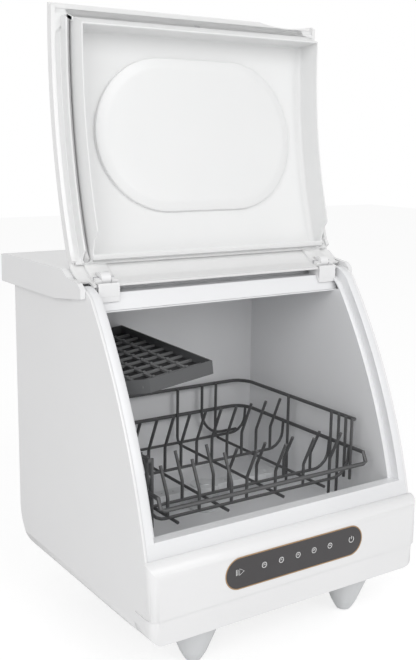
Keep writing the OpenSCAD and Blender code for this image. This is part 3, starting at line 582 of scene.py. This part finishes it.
# Shallow lip along the hinge end
hinge_lip = [rim(125.0, shallow), rim(118.5, shallow - 0.0003), rim(117.0, -0.0105)]
hinge_lip += [rim(115.5, -0.0080), (-0.0603, 0.4532), rim(128.0, 0.0049), rim(135.0, 0.0040)]
hinge_lip += [rim(135.0, floor_out), rim(128.0, 0.0022), rim(124.5, -0.0010)]
slab(liner, hinge_lip, -tray_half, tray_half, opened)
# Wedge-shaped end wall, wider where it lies outside the tub
face = [at_height(0.1810, deep), at_height(0.1806, -0.0220), at_height(0.1803, shallow)]
face += [at_height(0.1800, -0.0040), at_height(0.1796, 0.0016), at_height(0.1780, 0.0040)]
face += [at_height(0.1757, 0.0058), at_height(0.1752, 0.0061), at_height(0.1752, 0.0078)]
wedge = face + [at_height(0.2000, 0.0046), at_height(0.2000, 0.0030), at_height(0.1985, 0.0020)]
wedge += [at_height(0.1965, 0.0002), at_height(0.1830, -0.0346), at_height(0.1824, deep)]
wedge += [at_height(0.1816, -0.0352)]
slab(liner, wedge, -0.1836, 0.1836, opened)
slab(liner, face[2:] + [at_height(0.1842, 0.0050), at_height(0.1842, shallow)], -0.1860, 0.1860, opened)
slab(liner, face[4:] + [at_height(0.1835, 0.0062), at_height(0.1835, 0.0010)], -0.2026, 0.2026, opened)
# Slanted blocks at the corners, from the end wall to the side walls and grooves
corners = (
    (0.1830, 0.1860, shallow - 0.0002, 0.0049),
    (0.1856, 0.1942, 0.0009, 0.0050),
    (0.1936, 0.2026, 0.0009, 0.0058),
)
for side in (-1.0, 1.0):
    for near_x, far_x, low, high in corners:
        near_z, far_z = 0.1842 + near_x - 0.1845, 0.1842 + far_x - 0.1845
        corner = ((near_x, 0.1802), (far_x, 0.1802), (far_x, far_z), (near_x, max(0.1834, near_z)))
        loft(liner, [[lid_place(side * x, at_height(z, out)) for x, z in corner] for out in (low, high)])
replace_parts(settle(liner, "inner_tray", inner_white, "lid"), "lid_liner")

# Rubber seal in the groove
bead = [(0.1858, 0.0024), (0.1858, -0.0040), (0.1868, -0.0062), (0.1890, -0.0070)]
bead += [(0.1908, -0.0060), (0.1912, -0.0040), (0.1912, 0.0024)]
seal_low, seal_high, seal_steps = height_angle(0.1850, 0.0), 122.0, 48
seal_turns = [seal_low + (seal_high - seal_low) * k / seal_steps for k in range(seal_steps + 1)]
seal = bmesh.new()
for side in (-1.0, 1.0):
    loft(seal, [[lid_place(side * x, rim(a, out)) for x, out in bead] for a in seal_turns])
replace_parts(settle(seal, "seal_strip", seal_grey, "lid"), "lid_seal")

# Raised oval with sloping sides and a soft edge, bent to the tray's floor
oval_y, oval_z, oval_straight, oval_sides = -0.1402, 0.3163, 0.054, 96
middle = 180.0 - math.degrees(math.atan2(oval_z - long_c[1], long_c[0] - oval_y))
profile = (
    (0.1000, 0.0030), (0.1000, 0.0008), (0.0999, -0.0018), (0.0996, -0.0024), (0.0990, -0.0027),
    (0.0950, -0.0036), (0.0915, -0.0044), (0.0890, -0.0050), (0.0865, -0.0053), (0.0840, -0.0054),
    (0.0500, -0.0054),
)
outline = []
for k in range(oval_sides):
    a = 2.0 * math.pi * k / oval_sides
    shift = oval_straight if math.cos(a) > 1e-9 else -oval_straight
    outline.append((shift, math.cos(a), math.sin(a)))
rings = []
for grow, out in profile:
    rings.append([lid_place(shift + grow * c, rim(middle + math.degrees(grow * s / long_r), out))
                  for shift, c, s in outline])
boss = bmesh.new()
loft(boss, rings)
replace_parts(settle(boss, "raised_oval", inner_white, "lid"), "lid_oval_panel")

# Round magnet let into the end wall
finish_node("lid_magnet", steel)

# ---- Wire rack and cup tray ----
# Welded steel wire coated in dark grey nylon, with leaning tines, and a
# moulded grey lattice tray that hangs at the left on two hooks.
rack_grey = moulding("rack_grey", (0.070, 0.071, 0.073), (0.095, 0.096, 0.098), rough=0.40)
tray_grey = moulding("tray_grey", (0.075, 0.077, 0.080), (0.105, 0.108, 0.111), rough=0.5)
# The bars use a lighter copy of the tray's grey: painted light for their lit tops
grid_lit_grey = moulding("grid_lit_grey", (0.15, 0.152, 0.155), (0.20, 0.202, 0.205), rough=0.4)
# Near-black for the sheet under the tray's bars: painted shade for the deep cells
painted_shade_black = moulding("painted_shade_black", (0.012, 0.012, 0.013), (0.02, 0.02, 0.021), rough=0.6)

# Two rails of thicker wire, then thinner rods. The rods from front to back pass
# below the others at under_z, and end behind the rack's top rail at over_z.
rail, rod = 0.0056, 0.0044
rack_half, rack_back, rail_bend = 0.165, 0.138, 0.026
rod_half, rod_back, rod_low = 0.1612, 0.1342, 0.1190
top_z, mid_z, floor_z, under_z, over_z = 0.255, 0.213, 0.172, 0.1687, 0.2556
front_row, second_row, back_row = -0.118, -0.076, 0.030
rack = bmesh.new()
top_rail = [(-rack_half, -0.127, top_z), (-rack_half, rack_back, top_z)]
top_rail += [(rack_half, rack_back, top_z), (rack_half, -0.127, top_z)]
tube(rack, bent(top_rail, rail_bend), rail)
mid_rail = [(0.0, rack_back, mid_z), (rack_half, rack_back, mid_z), (rack_half, -0.147, mid_z)]
right_half = bent(mid_rail, rail_bend)[1:-1] + [Vector((rack_half, -0.147, mid_z))]
right_half += [Vector((rack_half, -0.152, 0.201)), Vector((0.160, -0.153, 0.199))]
left_half = [Vector((-p.x, p.y, p.z)) for p in reversed(right_half)]
tube(rack, right_half + left_half, rail, closed=True)
for y in (front_row, second_row, back_row, 0.128):
    hoop = [(-rod_half, y - 0.004, 0.214), (-rod_half, y, floor_z)]
    hoop += [(rod_half, y, floor_z), (rod_half, y - 0.004, 0.214)]
    tube(rack, bent(hoop, 0.024), rod)
for x in (-0.127, -0.051, 0.039, 0.110):
    tube(rack, bent([(x, -0.131, under_z), (x, rod_back, under_z), (x, rod_back, over_z)], 0.012), rod)
hook = [(0.084, rod_back, over_z), (0.084, rod_back, 0.1747), (0.151, rod_back, 0.1747)]
tube(rack, bent(hook, 0.038, 8), rod)
uprights = ((-0.1255, 0.1680), (-0.1130, 0.1680), (-0.0985, rod_low), (-0.0825, rod_low), (0.015, rod_low))
for side in (-1.0, 1.0):
    for y, foot_z in uprights:
        tube(rack, [(side * rod_half, y, 0.2565), (side * rod_half, y, foot_z)], rod)
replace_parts(settle(rack, "wire_basket", rack_grey, "rack"), "rack_frame")

# Each tine stands on a rod of the floor, then leans: its y, x, height and lean
rows = [(front_row, x, 0.063, 0.018) for x in (-0.134, -0.087, -0.037)]
rows += [(front_row, x, 0.072, -0.020) for x in (-0.0126, 0.0347, 0.0826, 0.130)]
rows += [(second_row, x, 0.062, 0.018) for x in (-0.134, -0.086, -0.037)]
rows += [(second_row, x, 0.062, -0.018) for x in (-0.012, 0.0347, 0.082, 0.130)]
rows += [(back_row, 0.1395 - 0.0267 * k, 0.084, -0.022) for k in range(11)]
tine_foot, tine_bend, bend_share = 0.1735, 0.012, 0.42
tines = bmesh.new()
for y, x, tall, lean in rows:
    tine = [(x, y, tine_foot), (x, y, floor_z + bend_share * tall), (x, y + lean, floor_z + tall)]
    tube(tines, bent(tine, tine_bend, 3), rod)
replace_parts(settle(tines, "tine_rows", rack_grey, "rack"), "rack_tines")

# Cup tray: a low wall with one cut corner round a square grid of bars, with a
# short post on each crossing and, under them, a near-black sheet of painted shade
tray_wide, tray_long, tray_wall, tray_tall = 0.1240, 0.2360, 0.0022, 0.0180
cut_x, cut_y, past_cut, tray_gap = 0.0300, 0.0200, 0.0320, 0.0010
across, along, bar = 5, 10, 0.0021
tray_set = (Matrix.Translation((-0.1736, -0.0925, 0.3240)) @ Matrix.Rotation(math.radians(-7.6), 4, "Y")
            @ Matrix.Rotation(math.radians(1.4), 4, "X"))


def tray_edge(inset, height):
    corners = [(inset, cut_y), (cut_x, inset), (tray_wide - inset, inset)]
    corners += [(tray_wide - inset, tray_long - inset), (inset, tray_long - inset)]
    return [tray_set @ Vector((x, y, height)) for x, y in corners]


def tray_bar(corners, low, high):
    loft(grid, [[tray_set @ Vector((x, y, z)) for x, y in corners] for z in (low, high)])


tray = bmesh.new()
wall_rings = [tray_edge(0.0, 0.0), tray_edge(0.0, tray_tall)]
wall_rings += [tray_edge(tray_wall, tray_tall), tray_edge(tray_wall, 0.0)]
loft(tray, wall_rings, closed=True)
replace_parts(settle(tray, "lattice_tray", tray_grey, "tray", 0.0003, 2), "cup_tray")
# The bars and posts take the lighter grey, painted light standing in for their lit tops
grid = bmesh.new()
bar_x = [tray_wide * k / across for k in range(1, across)]
bar_y = [tray_long * k / along for k in range(1, along)]
for x in bar_x:
    front = cut_y - cut_y * x / cut_x + tray_gap if x < cut_x else tray_gap
    back = tray_long - tray_gap
    tray_bar([(x - bar, front), (x + bar, front), (x + bar, back), (x - bar, back)], 0.0066, 0.0100)
for y in bar_y:
    near = tray_gap if y > cut_y else past_cut
    far = tray_wide - tray_gap
    tray_bar([(near, y - bar), (far, y - bar), (far, y + bar), (near, y + bar)], 0.0066, 0.0097)
for x in bar_x:
    for y in bar_y:
        post = [(x - bar, y - bar), (x + bar, y - bar), (x + bar, y + bar), (x - bar, y + bar)]
        tray_bar(post, 0.0090, 0.0118)
settle(grid, "tray_grid", grid_lit_grey, "tray", 0.0003, 2)
# A near-black sheet under the bars, painted shade that darkens the cells between them
shade_sheet = bmesh.new()
loft(shade_sheet, [tray_edge(0.0016, 0.0060), tray_edge(0.0016, 0.0068)])
settle(shade_sheet, "tray_shade_sheet", painted_shade_black, "tray")
finish_node("tray_hooks", rack_grey)
